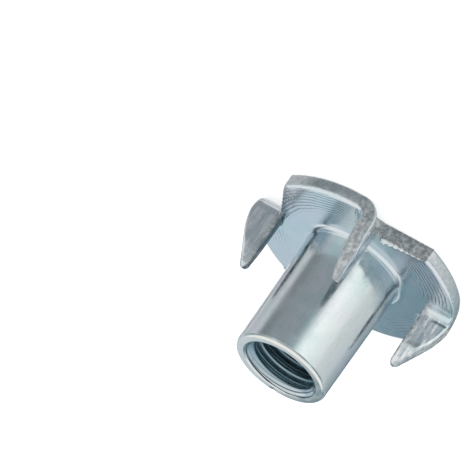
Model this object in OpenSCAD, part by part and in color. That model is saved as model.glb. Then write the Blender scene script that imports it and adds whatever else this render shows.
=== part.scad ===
// Four-prong tee nut, M8 size.
// Cold formed from one piece of sheet steel: a round flange, a drawn barrel with a tapped
// hole through it, and prongs that are lanced from the rim and folded up beside the barrel.
// The nut stands on the flat outer face of its flange, with the barrel along +Z.

/* [Flange] */
// Diameter of the flange
flange_d = 22; // [20:0.5:26]
// Thickness of the sheet
sheet = 1.5; // [1.2:0.1:1.8]
// Rounding of the flange's rim and of the prongs' outer edges
rim_round = 0.3; // [0.1:0.05:0.5]

/* [Barrel] */
// Length of the nut from the flange's outer face to the end of the barrel
nut_len = 14.9; // [11:0.1:20]
// Outside diameter where the barrel leaves the flange
root_d = 10.1; // [9.8:0.1:11]
// Outside diameter at the open end of the barrel
end_d = 9.8; // [9.4:0.1:10.6]
// Fillet between the flange and the barrel
root_fillet = 0.65; // [0.3:0.05:1]
// Rounding of the barrel's end, outside
end_round = 0.35; // [0.1:0.05:0.5]

/* [Hole] */
// Core diameter of the thread
core_d = 6.8; // [6.4:0.1:7]
// Outside diameter of the thread, which the lead-in at the barrel's end opens to
thread_d = 8; // [7.6:0.1:8.2]
// Depth of that lead-in
lead_depth = 0.6; // [0.3:0.1:1]
// Diameter of the mouth in the flange's outer face
mouth_d = 9.5; // [8.4:0.1:10]
// Depth of the cone from the mouth down to the core diameter
mouth_depth = 1.75; // [1:0.05:2.5]

/* [Prongs] */
// Number of prongs
prongs = 4; // [3:1:5]
// Distance from the axis to the line along which a prong is sheared from the flange
notch_r = 7.9; // [7.5:0.1:8.3]
// Distance of a prong's middle plane past the radius that is square to that line
prong_set = 1.45; // [1.2:0.05:1.7]
// Radius inside the fold of a prong
fold_r = 0.8; // [0.5:0.1:1.2]
// Radius of the blunt tip of a prong, seen from its side
tip_round = 0.45; // [0.3:0.05:0.6]
// Length over which a prong is pressed thinner towards its tip
taper_len = 2.6; // [2:0.1:3.2]
// Thinning at the tip on the side of the lobe that carries the prong
thin_lobe = 0.5; // [0.2:0.05:0.6]
// Thinning at the tip on the side of the notch
thin_notch = 0.3; // [0.1:0.05:0.4]
// Distance past the prong at which the sheared edge starts
notch_round = 0.45; // [0.2:0.05:0.8]
// Radius of the web in the corner between a prong and the sheared edge
web_r = 3.4; // [3:0.1:4.5]
// Height of that web
web_h = 1; // [0.6:0.1:1.1]
// Length over which the rim runs straight before a fold
rim_straight = 1.25; // [0.8:0.05:1.5]
// Height at which the curve of a prong's outer edge is centred: it is the flange's own curve
curve_z = 0.5; // [0.2:0.1:1]
// Distance by which the pressed tip stands out past that curve
tip_spread = 0.37; // [0.2:0.01:0.5]
// Depth by which the straight edge that runs on to the tip cuts into the curve
curve_cut = 0.03; // [0.02:0.01:0.06]

/* [Hidden] */
$fn = 96;
eps = 0.01;
flange_r = flange_d / 2;
root_r = root_d / 2;
end_r = end_d / 2;
barrel_slope = (root_r - end_r) / (nut_len - sheet);
fold_out = fold_r + sheet;                 // outside radius of the fold
fold_z = sheet + fold_r;                   // height of the fold's axis, where the prong is upright
face_y = -(prong_set + sheet / 2);         // outer face of the prong, on the notch's side
fold_y = face_y + fold_out;                // where the fold starts in the flange
fold_rim = sqrt(flange_r * flange_r - pow(fold_y + rim_straight, 2));    // where the straight rim lies
foot_z = fold_z + 0.15;                    // where a prong's outer edge leaves the straight rim
curve_mid = [fold_rim - sqrt(flange_r * flange_r - pow(foot_z - curve_z, 2)), curve_z];
tip_far = flange_r - tip_round + tip_spread;             // distance of the tip's rounding from there
tip_x = notch_r + tip_round;
tip = [tip_x, curve_z + sqrt(tip_far * tip_far - pow(tip_x - curve_mid[0], 2))];
prong_h = tip[1] + tip_round;              // height of the prongs above the flange's outer face
straight_r = flange_r - curve_cut;         // distance of the straight edge from the curve's centre
// Direction square to the straight edge, which is tangent to the tip's rounding
edge_turn = atan2(tip[1] - curve_z, tip_x - curve_mid[0]) - acos((straight_r - tip_round) / tip_far);
edge_out = [cos(edge_turn), sin(edge_turn)];
turn_foot = curve_mid + (notch_r - curve_mid[0]) / edge_out[0] * edge_out;
web_y = face_y - notch_round;              // where the web runs out into the sheared edge

// Radius of the barrel's outside at a height z
function barrel_r(z) = root_r - barrel_slope * (z - sheet);

// Half section of a disc with a rounded rim, from z = 0 to the sheet's thickness
module disc_section(r) {
    square([r - rim_round, sheet]);
    translate([0, rim_round]) square([r, sheet - 2 * rim_round]);
    for (z = [rim_round, sheet - rim_round]) translate([r - rim_round, z]) circle(rim_round);
}

// Slab of sheet with a straight rounded rim at a distance r
module straight_sheet(r) {
    far = 2 * flange_r;
    rotate([90, 0, 0]) linear_extrude(2 * far, center = true) {
        disc_section(r);
        translate([-far, 0]) square([far + eps, sheet]);
    }
}

// The flange before lancing, with its rim straight beside each fold
module flange() {
    intersection() {
        rotate_extrude($fn = 180) disc_section(flange_r);
        intersection_for(i = [0:prongs - 1]) rotate(i * 360 / prongs) straight_sheet(fold_rim);
    }
}

// Half section of the barrel, with the fillet at its root and the rounding at its end
module barrel_section() {
    top = nut_len - end_round;
    foot = sheet + root_fillet;
    polygon([[0, 0], [barrel_r(0), 0], [barrel_r(top), top], [0, top]]);
    square([barrel_r(top) - end_round, nut_len]);
    translate([barrel_r(top) - end_round, top]) circle(end_round);
    difference() {
        translate([0, sheet - eps]) square([root_r + root_fillet, root_fillet + eps]);
        translate([barrel_r(foot) + root_fillet, foot]) circle(root_fillet);
    }
}

// Half section of the hole: the mouth's cone, the core of the thread and the lead-in
module hole_section() {
    lead_z = nut_len - lead_depth;
    polygon([
        [0, -eps], [mouth_d / 2, -eps], [mouth_d / 2, 0], [core_d / 2, mouth_depth],
        [core_d / 2, lead_z], [thread_d / 2, nut_len], [thread_d / 2, nut_len + eps], [0, nut_len + eps]
    ]);
}

// The part of the flange that is lanced out for one prong
module lanced_segment() {
    far = 2 * flange_r;
    translate([0, 0, -eps]) linear_extrude(sheet + 2 * eps)
        polygon([[notch_r, fold_y], [far, fold_y], [far, -far], [notch_r, -far]]);
}

// The fold that turns the flange up into the prong
module fold() {
    translate([0, fold_y, fold_z]) rotate([-90, 0, 0]) rotate([0, 90, 0]) rotate_extrude(angle = 90)
        translate([fold_r, 0]) intersection() {
            mirror([1, -1]) disc_section(fold_rim);
            translate([0, notch_r]) square([sheet, flange_r]);
        }
}

// The sides of the thinned tip, carried on past the blade's foot and its top
module tip_wedge() {
    base = prong_h - taper_len;
    lobe = thin_lobe / taper_len;
    notch = thin_notch / taper_len;
    rotate([90, 0, 90]) linear_extrude(2 * flange_r) polygon([
        [face_y - base * notch, 0], [face_y + sheet + base * lobe, 0],
        [face_y + sheet - (taper_len + eps) * lobe, prong_h + eps], [face_y + (taper_len + eps) * notch, prong_h + eps]
    ]);
}

// Foot of the blade, with the flange's own curve and rounded rim along its outer edge
module blade_foot() {
    far = 2 * flange_r;
    intersection() {
        translate([0, sheet]) rotate([90, 0, 0]) linear_extrude(sheet) polygon([
            [notch_r, fold_z], [far, fold_z], curve_mid + far * edge_out, turn_foot
        ]);
        translate([0, sheet, fold_z]) rotate([90, 0, 0]) straight_sheet(fold_rim);
        translate([curve_mid[0], sheet, curve_z]) rotate([90, 0, 0])
            rotate_extrude($fn = 180) disc_section(flange_r);
    }
}

// Blade: a straight sheared edge towards the barrel, and an outer edge that follows the flange's own
// curve and then runs on straight to a blunt tip
module blade() {
    far = 2 * flange_r;
    intersection() {
        translate([0, face_y, 0]) {
            intersection() {
                union() {
                    blade_foot();
                    translate([0, sheet]) rotate([90, 0, 0]) linear_extrude(sheet) polygon([
                        turn_foot, curve_mid + far * edge_out, tip + far * edge_out, tip, [notch_r, tip[1]]
                    ]);
                }
                translate([curve_mid[0], sheet, curve_z]) rotate([90, 0, 0])
                    rotate(edge_turn) straight_sheet(straight_r);
            }
            translate([tip[0], sheet, tip[1]]) rotate([90, 0, 0]) linear_extrude(sheet) circle(tip_round);
        }
        tip_wedge();
    }
}

// The web that is left in the corner of the notch, under the fold
module web() {
    reach = fold_y - web_y;
    linear_extrude(web_h) difference() {
        polygon([
            [notch_r - eps, fold_y + eps], [notch_r + reach, fold_y + eps],
            [notch_r + reach, web_y], [notch_r - eps, web_y]
        ]);
        translate([notch_r + web_r, web_y]) circle(web_r);
    }
}

module tee_nut() {
    color("lightsteelblue") difference() {
        union() {
            difference() {
                flange();
                for (i = [0:prongs - 1]) rotate(i * 360 / prongs) lanced_segment();
            }
            rotate_extrude() barrel_section();
            for (i = [0:prongs - 1]) rotate(i * 360 / prongs) {
                fold();
                blade();
                web();
            }
        }
        rotate_extrude() hole_section();
    }
}

tee_nut();
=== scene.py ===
import bmesh
import bpy
import numpy as np
from mathutils import Matrix, Vector


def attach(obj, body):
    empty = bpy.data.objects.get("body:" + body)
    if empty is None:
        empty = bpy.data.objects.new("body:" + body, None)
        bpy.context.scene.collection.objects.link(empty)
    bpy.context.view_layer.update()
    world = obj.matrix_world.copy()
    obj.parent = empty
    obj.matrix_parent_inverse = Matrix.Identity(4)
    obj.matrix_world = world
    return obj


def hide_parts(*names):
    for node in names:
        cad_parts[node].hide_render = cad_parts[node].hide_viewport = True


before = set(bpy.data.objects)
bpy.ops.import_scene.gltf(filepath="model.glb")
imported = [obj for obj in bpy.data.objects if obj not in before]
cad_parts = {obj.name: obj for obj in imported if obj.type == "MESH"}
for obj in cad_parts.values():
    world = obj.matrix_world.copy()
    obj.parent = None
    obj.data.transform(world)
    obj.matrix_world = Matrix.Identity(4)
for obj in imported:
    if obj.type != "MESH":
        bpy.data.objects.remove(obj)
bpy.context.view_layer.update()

mm = 0.001
weldGap = 2e-7  # points nearer than this, in metres, become one


def gridQuads(rows, cols, closedColumns=False):
    # the quads between rows by columns of points, by the numbers of their corners
    index = np.arange(rows * cols).reshape(rows, cols)
    if closedColumns:
        index = np.concatenate([index, index[:, :1]], axis=1)
    corners = [index[:-1, :-1], index[:-1, 1:], index[1:, 1:], index[1:, :-1]]
    return np.stack(corners, axis=-1).reshape(-1, 4)


def addGrid(parts, points, closedColumns=False, flip=False, rough=0.0):
    # rows by columns of points become quads; rough is the finish of each point
    rows, cols = points.shape[:2]
    quads = gridQuads(rows, cols, closedColumns)
    if flip:
        quads = quads[:, ::-1]
    start = sum(len(p) for p in parts["points"])
    parts["points"].append(points.reshape(-1, 3))
    parts["faces"] += (quads + start).tolist()
    parts["rough"].append(np.broadcast_to(rough, (rows, cols)).reshape(-1))


def addStrip(parts, ringA, ringB, flip=False):
    # a band between two closed rings with different numbers of points: each edge of one ring
    # takes the point of the other ring that is next to its middle, going by the angle round the axis
    a, b = len(ringA), len(ringB)
    turnA, turnB = (np.unwrap(np.arctan2(ring[:, 1], ring[:, 0])) for ring in (ringA, ringB))
    turnB = turnB + np.round((turnA.mean() - turnB.mean()) / (2 * np.pi)) * 2 * np.pi
    midA = (turnA + np.append(turnA[1:], turnA[0] + 2 * np.pi)) / 2
    midB = (turnB + np.append(turnB[1:], turnB[0] + 2 * np.pi)) / 2
    wholeA, wholeB = ((mid[None] + np.array([[-2], [0], [2]]) * np.pi).reshape(-1) for mid in (midA, midB))
    apexB = np.searchsorted(wholeB, midA) % b + a
    apexA = np.searchsorted(wholeA, midB) % a
    first = np.stack([np.arange(a), (np.arange(a) + 1) % a, apexB], axis=1)
    second = np.stack([(np.arange(b) + 1) % b + a, np.arange(b) + a, apexA], axis=1)
    triangles = np.concatenate([first, second])
    if flip:
        triangles = triangles[:, ::-1]
    start = sum(len(p) for p in parts["points"])
    parts["points"].append(np.concatenate([ringA, ringB]))
    parts["faces"] += (triangles + start).tolist()
    parts["rough"].append(np.zeros(a + b))


def makePiece(name, parts, creaseAngle=35):
    # one mesh in metres from millimetre grids, welded where their edges meet; the attribute holds
    # each point's finish: 0 is bright plate, up to 1 is sheared, 2 is the burr, which gets a painted
    # highlight, and below 0 is painted shade, darkest at -1
    points = np.concatenate(parts["points"]) * mm
    mesh = bpy.data.meshes.new(name)
    mesh.from_pydata(points.tolist(), [], parts["faces"])
    sheared = mesh.attributes.new("sheared", "FLOAT", "POINT")
    sheared.data.foreach_set("value", np.concatenate(parts["rough"]).astype(np.float32))
    piece = bpy.data.objects.new(name, mesh)
    bpy.context.scene.collection.objects.link(piece)
    shell = bmesh.new()
    shell.from_mesh(mesh)
    bmesh.ops.remove_doubles(shell, verts=shell.verts, dist=weldGap)
    bmesh.ops.dissolve_degenerate(shell, edges=shell.edges, dist=weldGap)
    bmesh.ops.recalc_face_normals(shell, faces=shell.faces)
    shell.to_mesh(mesh)
    shell.free()
    mesh.shade_smooth()
    mesh.set_sharp_from_angle(angle=np.radians(creaseAngle))
    return piece


def emptyParts():
    # where the grids of one piece are gathered
    return {"points": [], "faces": [], "rough": []}


# the nut's sizes in millimetres, the same as the solid's, and the thread's pitch and place, which
# the solid doesn't have; a strip joins the barrel's part of the mesh, out to barrelJoinR, to the
# flange's part, from flangeJoinR, and a prong's mesh starts flatStart before its fold
nut = {
    "flangeR": 11.0, "sheet": 1.5, "rimRound": 0.3, "length": 14.9,
    "rootR": 5.05, "endR": 4.9, "fillet": 0.65, "endRound": 0.35,
    "coreR": 3.4, "threadR": 4.0, "pitch": 1.25, "grooveZ": -0.22, "leadDepth": 0.6,
    "mouthR": 4.75, "mouthDepth": 1.75,
    "notchR": 7.9, "prongSet": 1.45, "foldR": 0.8, "rimStraight": 1.25,
    "curveZ": 0.5, "curveCut": 0.03, "tipSpread": 0.37, "tipRound": 0.45,
    "taperLength": 2.6, "thinLobe": 0.5, "thinNotch": 0.3,
    "notchRound": 0.45, "webR": 3.4, "webHeight": 1.0,
    "barrelJoinR": 6.6, "flangeJoinR": 6.9, "flatStart": 0.02,
}


def boreRadius(turn, z):
    # distance of the hole's wall from the axis: a right-hand thread with flat crests and roots and
    # flanks at 60 degrees, opened out by the mouth's cone at one end and by the lead-in at the other
    phase = np.mod((z - nut["grooveZ"]) / nut["pitch"] - turn / (2 * np.pi) - 1 / 6, 1)
    aside = (0.5 - np.abs(phase - 0.5)) * nut["pitch"]
    depth = nut["threadR"] - nut["coreR"]
    # the mean of shifted profiles rounds the thread's edges
    shifts = np.array([-0.09, -0.045, 0, 0.045, 0.09]).reshape((5,) + (1,) * np.ndim(aside))
    thread = nut["threadR"] - np.clip((aside + shifts - nut["pitch"] / 16) * np.sqrt(3), 0, depth).mean(0)
    mouth = nut["mouthR"] - (nut["mouthR"] - nut["coreR"]) * z / nut["mouthDepth"]
    lead = nut["threadR"] - (nut["length"] - z) * depth / nut["leadDepth"]
    return np.maximum(thread, np.maximum(mouth, lead))


def polar(radius, turn, z):
    # points at a distance from the axis, a turn round it in radians and a height
    return np.stack(np.broadcast_arrays(radius * np.cos(turn), radius * np.sin(turn), z), axis=-1)


def boreGrid(columns=144):
    # rows follow the thread's helix, so that crests and roots are clean lines, and are cut off
    # flat at both ends; the seam closes because a turn later a row has become the next turn's
    corner = 1 / 16 + (nut["threadR"] - nut["coreR"]) / np.sqrt(3) / nut["pitch"]
    aroundCorner = corner + np.array([-0.08, -0.04, 0, 0.04, 0.08])
    half = np.concatenate([[1 / 16, 0.10, 0.16, 0.24], aroundCorner, [0.5]])
    share = np.concatenate([[0], half, 1 - half[-2::-1]])
    turns = int(np.ceil(nut["length"] / nut["pitch"])) + 3
    rise = (np.arange(turns)[:, None] + share[None]).reshape(-1) - 2 + nut["grooveZ"] / nut["pitch"] + 1 / 6
    turn = np.linspace(0, 2 * np.pi, columns + 1)
    z = np.clip((rise[:, None] + turn[None] / (2 * np.pi)) * nut["pitch"], 0, nut["length"])
    return polar(boreRadius(turn[None], z), turn[None], z)


def arc(centreR, centreZ, radius, start, end, steps):
    # distances from the axis and heights along an arc, from one angle in degrees to another
    angle = np.radians(np.linspace(start, end, steps))
    return np.stack([centreR + radius * np.cos(angle), centreZ + radius * np.sin(angle)], axis=1)


# a small dent in the ring of the barrel's end, in millimetres and degrees, with painted shade in it
# that is darkest where the dent is deeper than the depth of full shade
dentLook = {"radius": 4.6, "turn": -97, "depth": 0.14, "wide": 0.24, "shadeDepth": 0.07}


def barrelGrid(joinR, columns=144):
    # profile from the hole's end over the end face, down the tapered barrel and round the fillet
    # to the flange's upper face; the first ring follows the hole's wall
    turn = np.linspace(0, 2 * np.pi, columns + 1)[:-1]
    length, sheet, fillet, endRound = nut["length"], nut["sheet"], nut["fillet"], nut["endRound"]
    slope = (nut["rootR"] - nut["endR"]) / (length - sheet)
    topR = nut["endR"] + slope * endRound
    profile = np.concatenate([
        [[topR - endRound, length]],
        arc(topR - endRound, length - endRound, endRound, 75, 0, 6),
        np.stack([np.linspace(topR, nut["rootR"] - slope * fillet, 24)[1:-1],
                  np.linspace(length - endRound, sheet + fillet, 24)[1:-1]], axis=1),
        arc(nut["rootR"] + fillet, sheet + fillet, fillet, 180, 270, 10),
        [[nut["rootR"] + fillet + 0.15, sheet], [joinR, sheet]],
    ])
    rings = polar(profile[:, :1], turn[None], profile[:, 1:])
    holeEdge = polar(boreRadius(turn, length), turn, length)
    middle = (holeEdge + rings[0]) / 2
    rings = np.concatenate([[holeEdge], [middle], rings])
    away = np.linalg.norm(rings - polar(dentLook["radius"], np.radians(dentLook["turn"]), length), axis=2)
    dent = dentLook["depth"] * np.exp(-(away / dentLook["wide"]) ** 2)
    dent[0] = 0  # the hole's own edge stays where the thread's grid ends
    rings[..., 2] -= dent
    # below 0 the finish is painted shade in the dent
    return rings, -np.clip(dent / dentLook["shadeDepth"], 0, 1)


def mouthGrid(joinR, columns=144):
    # the flat ring of the outer face round the mouth
    turn = np.linspace(0, 2 * np.pi, columns + 1)[:-1]
    radius = np.array([joinR, nut["mouthR"] + 0.4, nut["mouthR"]])
    return polar(radius[:, None], turn[None], 0.0)


def sheetLines():
    # places in one prong's own axes: x square to the line that it is sheared along, y along it
    outerFace = -(nut["prongSet"] + nut["sheet"] / 2)
    foldOut = nut["foldR"] + nut["sheet"]
    foldY = outerFace + foldOut
    return outerFace, foldOut, foldY


def foldRim():
    # where the rim runs straight, beside the fold
    return np.sqrt(nut["flangeR"] ** 2 - (sheetLines()[2] + nut["rimStraight"]) ** 2)


def bladeLines():
    # a prong's outer edge in its own plane: the middle of the flange's own curve, the middle of
    # the tip's rounding, and the turn of the straight line between them
    radius, tipRound, rim = nut["flangeR"], nut["tipRound"], foldRim()
    footZ = nut["sheet"] + nut["foldR"] + 0.15
    mid = np.array([rim - np.sqrt(radius ** 2 - (footZ - nut["curveZ"]) ** 2), nut["curveZ"]])
    tipFar, tipX = radius - tipRound + nut["tipSpread"], nut["notchR"] + tipRound
    tip = np.array([tipX, mid[1] + np.sqrt(tipFar ** 2 - (tipX - mid[0]) ** 2)])
    turn = np.arctan2(tip[1] - mid[1], tipX - mid[0])
    turn -= np.arccos((radius - nut["curveCut"] - tipRound) / tipFar)
    return mid, tip, turn


def bladeEdge(z):
    # distance of a prong's outer edge at a height: the flange's own curve, then the straight line
    mid, _, turn = bladeLines()
    radius = nut["flangeR"]
    curved = mid[0] + np.sqrt(np.clip(radius ** 2 - (z - mid[1]) ** 2, 0, None))
    straight = mid[0] + (radius - nut["curveCut"] - (z - mid[1]) * np.sin(turn)) / np.cos(turn)
    turnZ = mid[1] + radius * np.sin(turn)
    return np.minimum(np.where(z > turnZ, straight, np.minimum(curved, straight)), foldRim())


# the kinds of edge along the flange's outline
kinds = {"rim": 0, "joint": 1, "web": 2, "sheared": 3}


def sectorOutline():
    # one quarter of the flange's outline, from the notch beside one prong round the lobe to the
    # notch beside the next: the web, the joint with the prong, the rim and the sheared edge, with
    # the kind of each point and its turn on the inner ring
    outerFace, _, foldY = sheetLines()
    joint = foldY + nut["flatStart"]
    flangeR, webR = nut["flangeR"], nut["webR"]
    webY = outerFace - nut["notchRound"]
    rise = np.linspace(0, np.arcsin((joint - webY) / webR), 12)
    web = np.stack([nut["notchR"] + webR - webR * np.cos(rise), webY + webR * np.sin(rise)], axis=1)
    jointX = foldRim()
    wall = np.stack([np.linspace(web[-1, 0], jointX, 5)[1:-1], np.full(3, joint)], axis=1)
    # where the next prong's sheared edge meets the rim, found in that prong's axes
    cornerTurn = -np.arccos(nut["notchR"] / flangeR)
    corner = flangeR * np.array([np.cos(cornerTurn), np.sin(cornerTurn)])
    next90 = np.array([[0, 1], [-1, 0]])
    startTurn, endTurn = np.arcsin(joint / flangeR), cornerTurn + np.pi / 2
    share = np.linspace(0, 1, 45)
    turn = startTurn + (endTurn - startTurn) * share
    rim = np.stack([np.minimum(flangeR * np.cos(turn), jointX), flangeR * np.sin(turn)], axis=1)
    along = np.linspace(0, 1, 73)[1:]
    shearedY = corner[1] + (webY - corner[1]) * along
    sheared = np.stack([np.full_like(shearedY, nut["notchR"]), shearedY], axis=1) @ next90
    outline = np.concatenate([web, wall, rim, sheared])
    order = [kinds[name] for name in ("web", "joint", "rim", "sheared")]
    kind = np.repeat(order, [len(web), len(wall), len(rim), len(sheared)])
    webTurn = np.degrees(np.arctan2(webY, nut["notchR"]))
    inner = np.concatenate([
        np.linspace(webTurn, 0, len(web)), np.linspace(0, 3.5, 5)[1:-1],
        np.linspace(3.5, np.degrees(endTurn) + 0.5, len(rim)),
        np.linspace(np.degrees(endTurn) + 0.5, 90 + webTurn, len(along) + 1)[1:],
    ])
    return outline[:-1], kind[:-1], np.radians(inner[:-1])


# the burr along a sheared edge in millimetres: its length, its height at the rim's end, how much
# higher it stands at the web's end, the share by which it is jagged, and where it fades out
burrLook = {"length": 5.2, "low": 0.2, "rise": 0.4, "jag": 0.4, "startFade": 0.6, "endFade": 0.25}


def burrHeight(count):
    # a lip on the upper side of the sheared edge, jagged by a few sine waves along the edge
    length = burrLook["length"]
    way = np.linspace(0, length, count)
    jag = 0.5 * np.sin(9.7 * way + 0.4) + 0.3 * np.sin(23.1 * way + 1.9) + 0.2 * np.sin(41.3 * way)
    height = (burrLook["low"] + burrLook["rise"] * (way / length) ** 2) * (1 + burrLook["jag"] * jag)
    starting = np.clip(way / burrLook["startFade"], 0, 1)
    return height * starting * np.clip((length - way) / burrLook["endFade"], 0, 1)


# the flange's edges in millimetres: a sheared edge's roundings above and below, how much wider
# than deep the rim's upper rounding is, and the share by which the burr leans out over the notch
edgeLook = {"topRound": 0.05, "bottomRound": 0.14, "rimWider": 1.7, "burrLean": 0.12}


def flangeGrid(joinR):
    # rows from the inner ring over the upper face, round the rim and back over the lower face
    outline, kind, inner = sectorOutline()
    sheet, rimRound = nut["sheet"], nut["rimRound"]
    quarter = np.arange(4)[:, None] * np.pi / 2
    # the web is lower than the sheet, and the upper face stops at the sheared line above it
    ringX = joinR * np.cos(inner)
    onWeb = kind == kinds["web"]
    reach = np.where(onWeb, (nut["notchR"] - 0.02 - ringX) / (outline[:, 0] - ringX), 0.95)
    drop = (sheet - nut["webHeight"]) * np.clip((outline[:, 0] - nut["notchR"]) / 0.4, 0, 1)
    reach, topZ = np.tile(reach, 4), np.tile(np.where(onWeb, sheet - drop, sheet), 4)
    turned = np.concatenate([
        np.stack([outline[:, 0] * np.cos(q) - outline[:, 1] * np.sin(q),
                  outline[:, 0] * np.sin(q) + outline[:, 1] * np.cos(q)], axis=1) for q in quarter[:, 0]])
    inner = (inner[None] + quarter).reshape(-1)
    count = (kind == kinds["sheared"]).sum()
    kind = np.tile(kind, 4)
    onRim, onSheared = kind == kinds["rim"], kind == kinds["sheared"]
    # outward direction in plan: the bisector of the two neighbouring edges, lengthened at corners
    edge = np.roll(turned, -1, 0) - turned
    normal = np.stack([edge[:, 1], -edge[:, 0]], axis=1)
    normal /= np.linalg.norm(normal, axis=1, keepdims=True)
    before = np.roll(normal, 1, 0)
    outward = (normal + before) / (1 + (normal * before).sum(1, keepdims=True))
    firstRim = np.flatnonzero(onRim & (np.roll(kind, 1) == kinds["joint"]))
    radial = np.round(np.arctan2(turned[firstRim, 1], turned[firstRim, 0]) / (np.pi / 2)) * np.pi / 2
    outward[firstRim] = np.stack([np.cos(radial), np.sin(radial)], axis=1)
    # the edge rows: a rounding at the top and one at the bottom, with the burr lifted out of the top
    # one on a sheared edge, and the rim's upper rounding made wider
    upper = np.where(onRim, rimRound, edgeLook["topRound"])[None]
    lower = np.where(onRim, rimRound, edgeLook["bottomRound"])[None]
    bend = np.radians(np.array([0, 18, 36, 54, 72, 90]))[:, None]
    inset = np.concatenate([upper * (1 - np.sin(bend)), lower * (1 - np.cos(bend))])
    height = np.concatenate([topZ - upper * (1 - np.cos(bend)), lower * (1 - np.sin(bend))])
    burr = np.zeros(len(kind))
    burr[onSheared] = np.tile(burrHeight(count), 4)
    lift = np.zeros(height.shape)
    lift[:4] = burr * np.array([1.0, 0.9, 0.7, 0.35])[:, None]
    inset[:6] *= np.where(onRim, edgeLook["rimWider"], 1.0)
    inset[:3] -= edgeLook["burrLean"] * burr
    height = height + lift
    edgeRows = np.concatenate([
        turned[None] - outward[None] * inset[:, :, None], height[:, :, None]], axis=2)
    ring = joinR * np.stack([np.cos(inner), np.sin(inner)], axis=1)
    share = np.array([0, 0.25, 0.5, 0.7, 0.85, 0.95])[:, None, None]
    upto = share / 0.95 * reach[None, :, None]
    topFlat = ring + (edgeRows[0, :, :2] - ring) * upto
    bottomFlat = ring + (edgeRows[-1, :, :2] - ring) * share[::-1]
    layer = np.ones((len(share), len(ring), 1))
    top = np.concatenate([topFlat, layer * sheet], axis=2)
    top[3:, :, 2] += np.array([0.1, 0.35, 0.75])[:, None] * burr
    bottom = np.concatenate([bottomFlat, layer * 0], axis=2)
    rows = np.concatenate([top, edgeRows, bottom])
    # finish: sheared all round but on the rim, which is dull only along its middle; the burr's
    # outer side, which gets a painted highlight, and a band of painted shade on the upper face behind it
    rough = np.zeros(rows.shape[:2])
    rough[6:18] = np.where(onRim, 0.0, 1.0)
    rough[10:14] = np.where(onRim, 0.35, 1.0)
    rough[6:10] = np.where(burr > np.array([0.12, 0.2, 0.28, 0.36])[:, None], 2.0, rough[6:10])
    rough[3:6] = np.where(onSheared, np.array([-0.15, -0.35, -0.5])[:, None], rough[3:6])
    return rows, rough


# a prong's small sizes in millimetres: the rounding of its sheared edge, the share by which its
# very end is pressed thinner, and where the crease beside the fold, which gets painted shade, lies
prongLook = {"cutRound": 0.08, "endThin": 0.25, "creaseX": 9.3, "creaseHalf": 0.12}


def prongGrid():
    # a rounded strip carried along the fold: ring by ring, x across the prong, depth through the
    # sheet, and the way along it turned up through a quarter circle
    _, foldOut, foldY = sheetLines()
    sheet, foldR, notchR = nut["sheet"], nut["foldR"], nut["notchR"]
    tipRound = nut["tipRound"]
    bendLength = (foldR + sheet / 2) * np.pi / 2
    tipX, tipZ = bladeLines()[1]
    upright = tipZ - (sheet + foldR)
    blade = bendLength + np.linspace(0, upright, 19)[1:]
    tip = bendLength + upright + tipRound * np.sin(np.radians([15, 30, 45, 60, 72, 82, 89]))
    way = np.concatenate([[-nut["flatStart"]], np.linspace(0, bendLength, 17), blade, tip])
    turnUp = np.clip(way / bendLength, 0, 1) * np.pi / 2
    rise = np.clip(way - bendLength, 0, None)
    z = sheet + foldR + rise
    outer = np.where(way < bendLength, foldRim(), bladeEdge(z))
    beyond = np.clip((way - bendLength - upright) / tipRound, 0, 1)
    capHalf = tipRound * np.sqrt(1 - beyond ** 2)
    atTip = way > bendLength + upright
    outer = np.where(atTip, np.minimum(outer, tipX + capHalf), outer)
    innerEdge = np.where(atTip, tipX - capHalf, notchR)
    thin = np.where(atTip, 1 - prongLook["endThin"] * beyond ** 3, 1.0)
    # ring of the section: outer face, rounded outer edge, inner face, sheared inner edge
    quarterTurn = np.radians(np.array([0, 18, 36, 54, 72, 90]))
    width = (outer - innerEdge)[:, None]
    rimR = np.minimum(nut["rimRound"], width * 0.45)
    cutR = np.minimum(prongLook["cutRound"], width * 0.2)
    flat = np.linspace(0, 1, 6)[None, 1:-1]
    left, right = innerEdge[:, None], outer[:, None]
    full = np.full_like(width, sheet)
    xRows = [left + cutR + (width - cutR - rimR) * flat,
             right - rimR * (1 - np.sin(quarterTurn))[None],
             right - rimR * (1 - np.cos(quarterTurn))[None],
             right - rimR - (width - cutR - rimR) * flat,
             left + cutR * (1 - np.sin(quarterTurn))[None],
             left + cutR * (1 - np.cos(quarterTurn))[None]]
    hRows = [np.zeros((len(way), 4)),
             rimR * (1 - np.cos(quarterTurn))[None],
             full - rimR * (1 - np.sin(quarterTurn))[None],
             np.repeat(full, 4, 1),
             full - cutR * (1 - np.cos(quarterTurn))[None],
             cutR * (1 - np.sin(quarterTurn))[None]]
    x, h = np.concatenate(xRows, 1), np.concatenate(hRows, 1)
    press = np.clip((z - tipZ - tipRound) / nut["taperLength"] + 1, 0, 1)[:, None]
    h = press * nut["thinNotch"] + h * (1 - press * (nut["thinNotch"] + nut["thinLobe"]) / sheet)
    h = sheet / 2 + (h - sheet / 2) * thin[:, None]
    radius = foldOut - h
    flatPart = np.clip(-way, 0, None)[:, None]
    y = foldY + flatPart - radius * np.sin(turnUp)[:, None]
    zz = sheet + foldR - radius * np.cos(turnUp)[:, None] + rise[:, None]
    rings = np.stack([x, y, zz], axis=2)
    # finish: a dull outer edge, a sheared inner edge with a dark line along its middle, and painted
    # shade in the crease at the end of the fold
    rough = np.zeros(x.shape)
    rough[:, 8:12] = 0.85
    rough[:, -12:] = 1.0
    rough[:, -8:-4] = -0.7
    atFold = (np.abs(way - bendLength) < prongLook["creaseHalf"])[:, None]
    rough[atFold & (np.abs(h - sheet) < 0.02) & (x > prongLook["creaseX"])] = -1.0
    # both ends close to a point
    start, end = (np.repeat(ring.mean(1, keepdims=True), x.shape[1], 1) for ring in (rings[:1], rings[-1:]))
    rings = np.concatenate([start, rings, end])
    rough = np.concatenate([rough[:1], rough, rough[-1:]])
    return rings, rough


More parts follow.
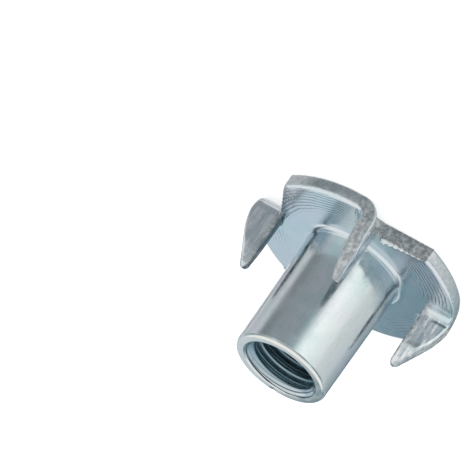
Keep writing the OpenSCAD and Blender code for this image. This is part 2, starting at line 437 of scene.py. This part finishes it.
def makeNut():
    # the hole's wall, the end with the barrel, the ring round the mouth and the flange, with a strip
    # between barrel and flange on each side of the sheet
    parts = emptyParts()
    joinR = nut["barrelJoinR"]
    addGrid(parts, boreGrid(), flip=True)
    rings, dentShade = barrelGrid(joinR)
    addGrid(parts, rings, closedColumns=True, rough=dentShade)
    addGrid(parts, mouthGrid(joinR), closedColumns=True)
    rows, rough = flangeGrid(nut["flangeJoinR"])
    addGrid(parts, rows, closedColumns=True, rough=rough)
    turn = np.linspace(0, 2 * np.pi, 145)[:-1]
    addStrip(parts, polar(joinR, turn, nut["sheet"]), rows[0])
    addStrip(parts, polar(joinR, turn, 0.0), rows[-1], flip=True)
    return makePiece("teeNut", parts)


def makeProng(number):
    # the same prong, turned by a quarter for each number
    parts = emptyParts()
    rings, rough = prongGrid()
    turn = number * np.pi / 2
    spin = np.array([[np.cos(turn), np.sin(turn), 0], [-np.sin(turn), np.cos(turn), 0], [0, 0, 1]])
    addGrid(parts, rings @ spin, closedColumns=True, rough=rough)
    return makePiece(f"prong{number + 1}", parts)


pieces = [makeNut()] + [makeProng(number) for number in range(4)]
for piece in pieces:
    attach(piece, "root")
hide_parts("tee_nut")
print("nut made,", sum(len(piece.data.polygons) for piece in pieces), "faces")


def addNode(tree, kind, settings=None, **inputs):
    # a node whose inputs take a value or another node's socket, by name with _ for spaces, or by
    # number as i0, i1 and so on
    node = tree.nodes.new(kind)
    for name, value in (settings or {}).items():
        setattr(node, name, value)
    for name, value in inputs.items():
        byNumber = name[0] == "i" and name[1:].isdigit()
        socket = node.inputs[int(name[1:]) if byNumber else name.replace("_", " ")]
        if isinstance(value, bpy.types.NodeSocket):
            tree.links.new(value, socket)
        else:
            socket.default_value = value
    return node


def calc(tree, kind, first, second=0.0, clamp=False):
    # one step of arithmetic; clamp keeps the result from 0 to 1
    node = addNode(tree, "ShaderNodeMath", {"operation": kind, "use_clamp": clamp}, i0=first, i1=second)
    return node.outputs[0]


def times(tree, first, second):
    return calc(tree, "MULTIPLY", first, second)


def plus(tree, first, second):
    return calc(tree, "ADD", first, second)


def spread(tree, value, low, high, start=0.0, end=1.0):
    # value from low to high becomes start to end, smoothly
    node = addNode(tree, "ShaderNodeMapRange", {"interpolation_type": "SMOOTHSTEP"},
                   Value=value, From_Min=low, From_Max=high, To_Min=start, To_Max=end)
    return node.outputs[0]


def blend(tree, share, first, second):
    # the first tone where share is 0 and the second where it is 1
    node = addNode(tree, "ShaderNodeMix", {"data_type": "RGBA"}, i0=share, i6=first, i7=second)
    return node.outputs[2]


def noise(tree, place, size, detail=2.0, stretch=None, rough=0.5):
    # size is the number of blots per millimetre
    if stretch:
        stretched = addNode(tree, "ShaderNodeVectorMath", {"operation": "MULTIPLY"}, i0=place, i1=stretch)
        place = stretched.outputs[0]
    node = addNode(tree, "ShaderNodeTexNoise", Vector=place, Scale=size, Detail=detail, Roughness=rough)
    return node.outputs[0]


# zinc plate: the bright plate and its tints, the rings left by forming with painted shade in them, the
# rough sheared edges, the near-white of painted highlights, painted shade in creases and round the
# barrel's end, and the hole's painted shade; lengths are in millimetres
plateLook = {
    "plate": (0.70, 0.745, 0.77, 1), "lavender": (0.70, 0.735, 0.785, 1), "cyan": (0.62, 0.73, 0.75, 1),
    "teal": (0.36, 0.47, 0.51, 1), "ringShade": (0.10, 0.17, 0.24, 1),
    "ringGap": 0.40, "ringFrom": 7.6, "ringTo": 10.6,
    "sheared": (0.30, 0.32, 0.335, 1), "shearedPale": (0.62, 0.645, 0.655, 1), "shearedBump": 0.1,
    # the burr tone is the near-white of painted highlights on the burr and the rubbed streaks, and the
    # crease tone is dark painted shade
    "burr": (0.93, 0.95, 0.95, 1), "creaseShade": (0.07, 0.11, 0.13, 1),
    # the end line's tone is painted shade on the end's rounding, and the hole's two tones are painted shade
    "endRoundShade": (0.38, 0.40, 0.38, 1), "endRing": (0.79, 0.785, 0.75, 1),
    "hole": (0.24, 0.38, 0.44, 1), "deepHoleShade": (0.10, 0.18, 0.22, 1), "leadGap": 0.25,
    "smooth": 0.14, "dull": 0.27,
}
# the noises' blots per millimetre
blots = {
    "lavender": 0.22, "cyan": 0.31, "streaks": 2.6, "rubbedAndHighlight": 1.9, "specks": 3.5, "grain": 2.4,
    "ringWander": 0.5, "ringBreaks": 0.9, "lineBreaks": 0.7, "dull": 0.8, "waves": 1.1, "drawLines": 3.0,
}
sheet, top, threadR, coreR = nut["sheet"], nut["length"], nut["threadR"], nut["coreR"]
plate = bpy.data.materials.new("zincPlate")
plate.use_nodes = True
tree = plate.node_tree
shader = tree.nodes["Principled BSDF"]
coords = addNode(tree, "ShaderNodeTexCoord").outputs["Object"]
place = addNode(tree, "ShaderNodeVectorMath", {"operation": "SCALE"}, i0=coords, Scale=1 / mm).outputs[0]
alongX, alongY, height = addNode(tree, "ShaderNodeSeparateXYZ", Vector=place).outputs
flat = addNode(tree, "ShaderNodeCombineXYZ", X=alongX, Y=alongY).outputs[0]
radius = addNode(tree, "ShaderNodeVectorMath", {"operation": "LENGTH"}, i0=flat).outputs[1]
aroundAxis = calc(tree, "ARCTAN2", alongY, alongX)
# the finish attribute: sheared edges, the burr, which gets a painted highlight, and painted shade where it
# is below 0
finish = addNode(tree, "ShaderNodeAttribute", {"attribute_name": "sheared"}).outputs["Fac"]
shearedHere = calc(tree, "MINIMUM", calc(tree, "MAXIMUM", finish, 0.0), 1.0)
burrHighlightHere = calc(tree, "SUBTRACT", finish, 1.0, clamp=True)
paintedShadeHere = calc(tree, "MULTIPLY", finish, -1.0, clamp=True)
onProng = times(tree, spread(tree, radius, nut["notchR"] - 0.4, nut["notchR"] - 0.2),
                spread(tree, height, sheet + 0.25, sheet + 0.7))
onFace = times(tree, spread(tree, height, sheet - 0.15, sheet - 0.05),
               spread(tree, height, sheet + 0.6, sheet + 0.3))

# tints: broad lavender and cyan clouds, thin teal streaks along the nut's axis, pale streaks where
# the prongs were rubbed, which are partly a painted highlight, mostly on the prong that stands beside
# +X, and teal specks
clouds = noise(tree, place, blots["lavender"])
tone = blend(tree, spread(tree, clouds, 0.35, 0.65), plateLook["plate"], plateLook["lavender"])
clouds = noise(tree, place, blots["cyan"], 1.0)
tone = blend(tree, spread(tree, clouds, 0.42, 0.75), tone, plateLook["cyan"])
streaks = spread(tree, noise(tree, place, blots["streaks"], 3.0, (1.0, 1.0, 0.12), 0.6), 0.52, 0.72)
depth = plus(tree, times(tree, onProng, 0.65), spread(tree, onFace, 0, 1, 0.15, 0.04))
tone = blend(tree, times(tree, streaks, depth), tone, plateLook["teal"])
rubbedAndHighlight = spread(tree, noise(tree, place, blots["rubbedAndHighlight"], 3.0, (1.0, 1.0, 0.2), 0.6), 0.46, 0.62)
rubbedAndHighlight = times(tree, times(tree, rubbedAndHighlight, times(tree, onProng, 0.9)), spread(tree, alongX, -2, 8, 0.3, 1.0))
tone = blend(tree, rubbedAndHighlight, tone, plateLook["burr"])
specks = spread(tree, noise(tree, place, blots["specks"]), 0.55, 0.8, 0, 0.2)
tone = blend(tree, times(tree, specks, spread(tree, onFace, 0, 1, 1.0, 0.4)), tone, plateLook["teal"])

# rings round the axis on the flange's upper face, painted as shade in their grooves and broken by
# noise; they fade out beside each fold, going by the turn within a quarter, and the painted shade is
# strongest on the lobe between +X and +Y
band = times(tree, spread(tree, radius, plateLook["ringFrom"] - 0.5, plateLook["ringFrom"] + 0.8),
             spread(tree, radius, plateLook["ringTo"] + 0.1, plateLook["ringTo"] - 0.1))
wander = times(tree, noise(tree, place, blots["ringWander"]), 0.5)
ringWay = calc(tree, "DIVIDE", plus(tree, radius, wander), plateLook["ringGap"])
ringWave = calc(tree, "SINE", times(tree, ringWay, 2 * np.pi))
ringLine = times(tree, spread(tree, ringWave, 0.1, 0.9), times(tree, onFace, band))
lobeTurn = calc(tree, "MODULO", plus(tree, aroundAxis, 2 * np.pi), np.pi / 2)
for share in (spread(tree, lobeTurn, 1.40, 1.22), spread(tree, lobeTurn, 0.05, 0.2),
              spread(tree, noise(tree, place, blots["ringBreaks"]), 0.3, 0.6, 0.6, 1.0),
              spread(tree, alongY, -4, 1, 0.3, 1.0)):
    ringLine = times(tree, ringLine, share)
shaded = times(tree, ringLine, spread(tree, alongX, -3, 3, 0.6, 1.0))
tone = blend(tree, shaded, tone, plateLook["ringShade"])

# rough sheared metal: dark grain with pale specks
grain = noise(tree, place, blots["grain"], 3.0, None, 0.6)
torn = blend(tree, spread(tree, grain, 0.38, 0.66), plateLook["sheared"], plateLook["shearedPale"])
tone = blend(tree, shearedHere, tone, torn)

# the barrel's end: a warmer ring, with a thin broken line of painted shade round its rounded outer edge
tone = blend(tree, spread(tree, height, top - 0.2, top - 0.05), tone, plateLook["endRing"])
endShade = times(tree, spread(tree, height, top - 0.35, top - 0.24), spread(tree, height, top - 0.1, top - 0.2))
endShade = times(tree, endShade, spread(tree, radius, nut["endR"] - 0.3, nut["endR"] - 0.2))
endShade = times(tree, endShade, spread(tree, noise(tree, place, blots["lineBreaks"]), 0.35, 0.6))
tone = blend(tree, endShade, tone, plateLook["endRoundShade"])
# a painted highlight on the burr, then painted shade in the fold's crease, in the dent and beside the
# sheared edges
tone = blend(tree, burrHighlightHere, tone, plateLook["burr"])
tone = blend(tree, paintedShadeHere, tone, plateLook["creaseShade"])

# the hole: painted shade, darker the deeper it is, and a little lighter on the crests of the thread
inShadedHole = times(tree, spread(tree, radius, threadR + 0.15, threadR),
               spread(tree, height, top - 0.2, top - 1.0, 0.1, 1.0))
inShadedHole = times(tree, inShadedHole, spread(tree, height, 0.6, 1.8))
holeTone = blend(tree, spread(tree, height, top - 1.7, top - 2.7), plateLook["hole"], plateLook["deepHoleShade"])
tone = blend(tree, times(tree, inShadedHole, spread(tree, radius, coreR + 0.02, coreR + 0.2, 0.85, 1.0)),
             tone, holeTone)
# fine lines that run round the lead-in, in the dark tone of the painted crease shade
turns = calc(tree, "DIVIDE", aroundAxis, 2 * np.pi)
cutWay = calc(tree, "SUBTRACT", calc(tree, "DIVIDE", height, plateLook["leadGap"]), turns)
cut = spread(tree, calc(tree, "SINE", times(tree, cutWay, 2 * np.pi)), 0.35, 0.8)
inLead = times(tree, spread(tree, radius, threadR + 0.05, threadR - 0.03),
               spread(tree, height, top - 0.75, top - 0.6))
tone = blend(tree, times(tree, cut, times(tree, inLead, 0.85)), tone, plateLook["creaseShade"])
tree.links.new(tone, shader.inputs["Base Color"])

# rubbed streaks and burr are partly matt, so they show pale against the plate's reflections
matt = calc(tree, "MAXIMUM", times(tree, rubbedAndHighlight, 0.6), times(tree, burrHighlightHere, 0.5))
tree.links.new(calc(tree, "SUBTRACT", 1.0, matt), shader.inputs["Metallic"])

# roughness: dull clouds on the plate, fewer on the flange's face, and rougher edges and hole
dulled = spread(tree, noise(tree, place, blots["dull"], 3.0), 0.35, 0.7,
                0.0, plateLook["dull"] - plateLook["smooth"])
sheen = plus(tree, times(tree, dulled, spread(tree, onFace, 0, 1, 1.0, 0.2)), plateLook["smooth"])
for where, added in ((shearedHere, 0.3), (onFace, 0.05), (inShadedHole, 0.2)):
    sheen = plus(tree, sheen, times(tree, where, added))
tree.links.new(sheen, shader.inputs["Roughness"])

# relief in millimetres: waves, strongest on the prongs, drawing lines along the axis, the rings'
# grooves and the torn grain
waveDepth = plus(tree, times(tree, onProng, 0.025), spread(tree, onFace, 0, 1, 0.004, 0.0015))
relief = times(tree, noise(tree, place, blots["waves"]), waveDepth)
drawLines = noise(tree, place, blots["drawLines"], 2.0, (1.0, 1.0, 0.05))
relief = plus(tree, relief, times(tree, drawLines, spread(tree, onFace, 0, 1, 0.004, 0.0012)))
relief = calc(tree, "SUBTRACT", relief, times(tree, ringLine, 0.02))
relief = plus(tree, relief, times(tree, times(tree, grain, shearedHere), plateLook["shearedBump"]))
bump = addNode(tree, "ShaderNodeBump", Strength=1.0, Distance=mm, Height=relief)
tree.links.new(bump.outputs[0], shader.inputs["Normal"])
for piece in pieces:
    piece.data.materials.append(plate)
print("zinc plate made,", len(tree.nodes), "nodes")

# camera: its axes in the frame, its place in metres and its lens in millimetres
view = {
    "right": (0.85015, 0.017251, -0.526257),
    "down": (0.46421, -0.496256, 0.733648),
    "ahead": (-0.248503, -0.868005, -0.4299),
    "place": (0.120101, 0.45859, 0.231868),
    "lens": 426.03,
}
cameraData = bpy.data.cameras.new("camera")
cameraData.sensor_width = 36
cameraData.lens = view["lens"]
cameraData.clip_start, cameraData.clip_end = 0.01, 10
camera = bpy.data.objects.new("camera", cameraData)
axes = Matrix([view["right"], [-v for v in view["down"]], [-v for v in view["ahead"]]]).transposed()
camera.matrix_world = Matrix.Translation(Vector(view["place"])) @ axes.to_4x4()
bpy.context.scene.collection.objects.link(camera)
bpy.context.scene.camera = camera
print("camera set")

# floor: a pale sheet just under the nut, which glows a little for the camera alone so that it
# shows white, and can be seen through from below
ground = {"z": -0.00002, "half": 0.6, "tone": (0.85, 0.85, 0.85, 1), "glow": 0.5}
corners = [(x * ground["half"], y * ground["half"], ground["z"])
           for x, y in ((-1, -1), (1, -1), (1, 1), (-1, 1))]
floorMesh = bpy.data.meshes.new("floor")
floorMesh.from_pydata(corners, [], [(0, 1, 2, 3)])
floor = bpy.data.objects.new("floor", floorMesh)
bpy.context.scene.collection.objects.link(floor)
floorPaint = bpy.data.materials.new("paleFloor")
floorPaint.use_nodes = True
tree = floorPaint.node_tree
tree.nodes.clear()
matt = addNode(tree, "ShaderNodeBsdfDiffuse", Color=ground["tone"]).outputs[0]
glow = addNode(tree, "ShaderNodeEmission", Strength=ground["glow"]).outputs[0]
lit = addNode(tree, "ShaderNodeAddShader", i0=matt, i1=glow).outputs[0]
forCamera = addNode(tree, "ShaderNodeLightPath").outputs["Is Camera Ray"]
above = addNode(tree, "ShaderNodeMixShader", i0=forCamera, i1=matt, i2=lit).outputs[0]
clear = addNode(tree, "ShaderNodeBsdfTransparent").outputs[0]
fromBelow = addNode(tree, "ShaderNodeNewGeometry").outputs["Backfacing"]
paint = addNode(tree, "ShaderNodeMixShader", i0=fromBelow, i1=above, i2=clear).outputs[0]
addNode(tree, "ShaderNodeOutputMaterial", Surface=paint)
floorMesh.materials.append(floorPaint)
floor.visible_glossy = False
floor.visible_shadow = False

# world: plain white all round
world = bpy.data.worlds.new("tent")
bpy.context.scene.world = world
world.use_nodes = True
background = world.node_tree.nodes["Background"]
background.inputs["Color"].default_value = (1, 1, 1, 1)
background.inputs["Strength"].default_value = 1.0

# boards that only reflections see, as round a studio's table: two rings, a lower and an upper one,
# each painted with tones by their turn in degrees, and one card close to the nut; far in metres.
# A ramp's colours end at 1, so the tones are divided by the boards' strength
boardStrength = 1.25
rings = {
    "lowerRing": {"rise": (-78, -2), "far": 0.5, "tones": [
        (-180, (0.70, 0.71, 0.71)), (-162, (0.54, 0.56, 0.57)), (-144, (0.76, 0.76, 0.75)),
        (-134, (0.12, 0.15, 0.24)), (-124, (1.15, 1.15, 1.12)), (-112, (0.46, 0.49, 0.52)),
        (-104, (0.26, 0.30, 0.32)), (-97, (0.10, 0.18, 0.21)), (-90, (0.36, 0.40, 0.42)),
        (-83, (0.18, 0.25, 0.28)), (-72, (0.31, 0.38, 0.41)), (-42, (0.52, 0.58, 0.60)),
        (-30, (0.68, 0.73, 0.73)), (6, (0.78, 0.81, 0.77)), (20, (0.98, 0.99, 0.96)),
        (40, (1.10, 1.10, 1.05)), (58, (1.24, 1.22, 1.18)), (67, (1.10, 1.10, 1.08)),
        (78, (0.50, 0.58, 0.58)), (88, (0.30, 0.36, 0.38)), (104, (0.33, 0.36, 0.38)),
        (138, (0.33, 0.35, 0.37)), (151, (0.26, 0.28, 0.29)), (164, (0.28, 0.30, 0.31)),
        (173, (0.66, 0.67, 0.68)), (180, (0.70, 0.71, 0.71))]},
    "upperRing": {"rise": (0, 35), "far": 0.5, "tones": [
        (-180, (0.30, 0.42, 0.48)), (-158, (0.42, 0.54, 0.60)), (-140, (0.58, 0.69, 0.77)),
        (-96, (0.58, 0.69, 0.77)), (-60, (0.55, 0.64, 0.68)), (26, (0.42, 0.55, 0.60)),
        (60, (0.60, 0.66, 0.68)), (90, (0.72, 0.72, 0.72)), (128, (0.95, 0.95, 0.93)),
        (148, (0.85, 0.85, 0.84)), (165, (0.36, 0.48, 0.53)), (180, (0.30, 0.42, 0.48))]},
}
nearCard = {
    "turn": -80, "rise": 23, "wide": 26, "high": 17, "far": 0.062, "glow": (0.20, 0.30, 0.35), "soft": 0.15,
}
middle = (0, 0, 0.006)  # of the boards, about the nut's own


def makeBoard(name, far, turn, rise):
    # a patch of a ball round the nut, from one turn and rise to another, with UV across it
    cols, rows = 73, 13
    turn = np.radians(np.linspace(*turn, cols))[None]
    rise = np.radians(np.linspace(*rise, rows))[:, None]
    points = far * np.stack(np.broadcast_arrays(
        np.cos(rise) * np.cos(turn), np.cos(rise) * np.sin(turn), np.sin(rise)), axis=-1) + np.array(middle)
    quads = gridQuads(rows, cols)
    mesh = bpy.data.meshes.new(name)
    mesh.from_pydata(points.reshape(-1, 3).tolist(), [], quads.tolist())
    place = np.stack(np.meshgrid(np.linspace(0, 1, cols), np.linspace(0, 1, rows)), axis=-1).reshape(-1, 2)
    layer = mesh.uv_layers.new(name="across")
    layer.data.foreach_set("uv", place[quads.reshape(-1)].reshape(-1).astype(np.float32))
    board = bpy.data.objects.new(name, mesh)
    bpy.context.scene.collection.objects.link(board)
    board.visible_camera = board.visible_diffuse = board.visible_shadow = False
    board.visible_transmission = board.visible_volume_scatter = False
    paint = bpy.data.materials.new(name + "Paint")
    paint.use_nodes = True
    paint.node_tree.nodes.clear()
    mesh.materials.append(paint)
    spot = addNode(paint.node_tree, "ShaderNodeTexCoord").outputs["UV"]
    return paint.node_tree, addNode(paint.node_tree, "ShaderNodeSeparateXYZ", Vector=spot).outputs


def boardTone(tone):
    # a tone as a colour that the boards' strength lifts back to it
    return (*(part / boardStrength for part in tone), 1)


def paintBoard(tree, cover, glow):
    # glowing paint that thins out to nothing where cover is 0
    glow = addNode(tree, "ShaderNodeEmission", Color=glow, Strength=boardStrength).outputs[0]
    clear = addNode(tree, "ShaderNodeBsdfTransparent").outputs[0]
    mixed = addNode(tree, "ShaderNodeMixShader", i0=cover, i1=clear, i2=glow).outputs[0]
    addNode(tree, "ShaderNodeOutputMaterial", Surface=mixed)


def softEdge(tree, way, soft):
    # 0 at both ends of way, which runs from 0 to 1, and 1 between them
    return spread(tree, calc(tree, "MINIMUM", way, calc(tree, "SUBTRACT", 1.0, way)), 0.0, soft)


for name, ring in rings.items():
    tree, spot = makeBoard(name, ring["far"], (-180, 180), ring["rise"])
    ramp = addNode(tree, "ShaderNodeValToRGB", Fac=spot[0])
    stops = ramp.color_ramp.elements
    for turn, _ in ring["tones"][1:-1]:
        stops.new((turn + 180) / 360)
    for stop, (_, tone) in zip(stops, ring["tones"]):
        stop.color = boardTone(tone)
    paintBoard(tree, softEdge(tree, spot[1], 0.12), ramp.outputs[0])
cardTurn = (nearCard["turn"] - nearCard["wide"], nearCard["turn"] + nearCard["wide"])
cardRise = (nearCard["rise"] - nearCard["high"], nearCard["rise"] + nearCard["high"])
tree, spot = makeBoard("nearCard", nearCard["far"], cardTurn, cardRise)
cover = times(tree, softEdge(tree, spot[0], nearCard["soft"]), softEdge(tree, spot[1], nearCard["soft"]))
paintBoard(tree, cover, boardTone(nearCard["glow"]))
bpy.context.scene.view_settings.view_transform = "Standard"
print("stage set")
